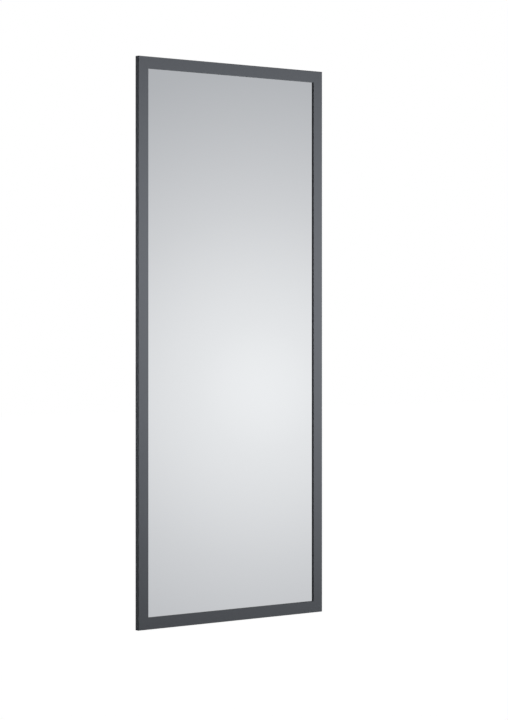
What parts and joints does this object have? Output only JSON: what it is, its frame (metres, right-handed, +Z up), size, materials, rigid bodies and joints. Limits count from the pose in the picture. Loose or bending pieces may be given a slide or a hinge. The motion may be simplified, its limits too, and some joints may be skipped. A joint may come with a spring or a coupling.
{
  "type": "pull-out closet mirror",
  "caption": "Tall framed mirror on a swivel tube, carried out of a closet by telescopic ball-bearing runners, then turned to face the user.",
  "frame": {"origin": "middle of the lower runner's back face, the plane that is screwed to the closet's side panel", "axes": "+Z up along the mirror's height, +Y into the closet's side panel, so the mirror faces -Y; the mirror pulls out towards -X"},
  "size_m": [0.42, 0.0452, 1],
  "materials": {
    "frame_profile": "satin anthracite powder coat on extruded aluminium",
    "corner_key": "sawn extruded aluminium",
    "mirror_glass": "silvered float glass",
    "backing_board": "dark faced hardboard",
    "zinc_steel": "bright zinc plated cold-rolled steel",
    "bearing_steel": "polished chrome steel balls in a plated cage",
    "screw_steel": "zinc plated screw steel",
    "coated_metal": "anthracite powder coat",
    "black_plastic": "moulded black acetal"
  },
  "bodies": {
    "fixed_rails": {"outer_rail_lower": "zinc_steel", "outer_rail_upper": "zinc_steel", "closing_bumper_lower": "black_plastic", "closing_bumper_upper": "black_plastic"},
    "lower_middle_rail": {"middle_rail_lower": "zinc_steel"},
    "upper_middle_rail": {"middle_rail_upper": "zinc_steel"},
    "lower_outer_cage": {"outer_ball_cage_lower": "bearing_steel"},
    "upper_outer_cage": {"outer_ball_cage_upper": "bearing_steel"},
    "lower_inner_cage": {"inner_ball_cage_lower": "bearing_steel"},
    "upper_inner_cage": {"inner_ball_cage_upper": "bearing_steel"},
    "carriage": {"inner_rail_lower": "zinc_steel", "inner_rail_upper": "zinc_steel", "swivel_bracket_lower": "coated_metal", "swivel_bracket_upper": "coated_metal", "bush_lower_top": "black_plastic", "bush_lower_bottom": "black_plastic", "bush_upper_top": "black_plastic", "bush_upper_bottom": "black_plastic", "bracket_screw_lower_1": "screw_steel", "bracket_screw_lower_2": "screw_steel", "bracket_screw_upper_1": "screw_steel", "bracket_screw_upper_2": "screw_steel"},
    "mirror": {"leading_stile": "frame_profile", "trailing_stile": "frame_profile", "top_rail": "frame_profile", "bottom_rail": "frame_profile", "corner_key_top_leading": "corner_key", "corner_key_top_trailing": "corner_key", "corner_key_bottom_leading": "corner_key", "corner_key_bottom_trailing": "corner_key", "mirror_glass": "mirror_glass", "backing_board": "backing_board", "swivel_tube": "zinc_steel", "tube_cap_lower": "black_plastic", "tube_cap_upper": "black_plastic", "thrust_collar_lower": "zinc_steel", "thrust_collar_upper": "zinc_steel", "collar_grub_screw_lower": "screw_steel", "collar_grub_screw_upper": "screw_steel", "saddle_block_lower": "coated_metal", "saddle_block_middle": "coated_metal", "saddle_block_upper": "coated_metal", "nut_plate_lower": "zinc_steel", "nut_plate_middle": "zinc_steel", "nut_plate_upper": "zinc_steel", "saddle_screw_lower_1": "screw_steel", "saddle_screw_lower_2": "screw_steel", "saddle_screw_middle_1": "screw_steel", "saddle_screw_middle_2": "screw_steel", "saddle_screw_upper_1": "screw_steel", "saddle_screw_upper_2": "screw_steel"}
  },
  "joints": [
    {"name": "pull_out", "type": "slide", "parent": "fixed_rails", "child": "carriage", "axis": [-1, 0, 0], "range_m": [0, 0.35]},
    {"name": "lower_middle_slide", "type": "slide", "parent": "fixed_rails", "child": "lower_middle_rail", "axis": [-1, 0, 0], "range_m": [0, 0.175]},
    {"name": "upper_middle_slide", "type": "slide", "parent": "fixed_rails", "child": "upper_middle_rail", "axis": [-1, 0, 0], "range_m": [0, 0.175]},
    {"name": "lower_outer_cage_roll", "type": "slide", "parent": "fixed_rails", "child": "lower_outer_cage", "axis": [-1, 0, 0], "range_m": [0, 0.0875]},
    {"name": "upper_outer_cage_roll", "type": "slide", "parent": "fixed_rails", "child": "upper_outer_cage", "axis": [-1, 0, 0], "range_m": [0, 0.0875]},
    {"name": "lower_inner_cage_roll", "type": "slide", "parent": "fixed_rails", "child": "lower_inner_cage", "axis": [-1, 0, 0], "range_m": [0, 0.2625]},
    {"name": "upper_inner_cage_roll", "type": "slide", "parent": "fixed_rails", "child": "upper_inner_cage", "axis": [-1, 0, 0], "range_m": [0, 0.2625]},
    {"name": "swivel", "type": "hinge", "parent": "carriage", "child": "mirror", "pos_m": [-0.181, -0.02321, 0.32], "axis": [0, 0, -1], "range_deg": [0, 90]}
  ],
  "couplings": [
    {"joint": "lower_middle_slide", "follows": "pull_out", "ratio": 0.5},
    {"joint": "upper_middle_slide", "follows": "pull_out", "ratio": 0.5},
    {"joint": "lower_outer_cage_roll", "follows": "pull_out", "ratio": 0.25},
    {"joint": "upper_outer_cage_roll", "follows": "pull_out", "ratio": 0.25},
    {"joint": "lower_inner_cage_roll", "follows": "pull_out", "ratio": 0.75},
    {"joint": "upper_inner_cage_roll", "follows": "pull_out", "ratio": 0.75}
  ]
}
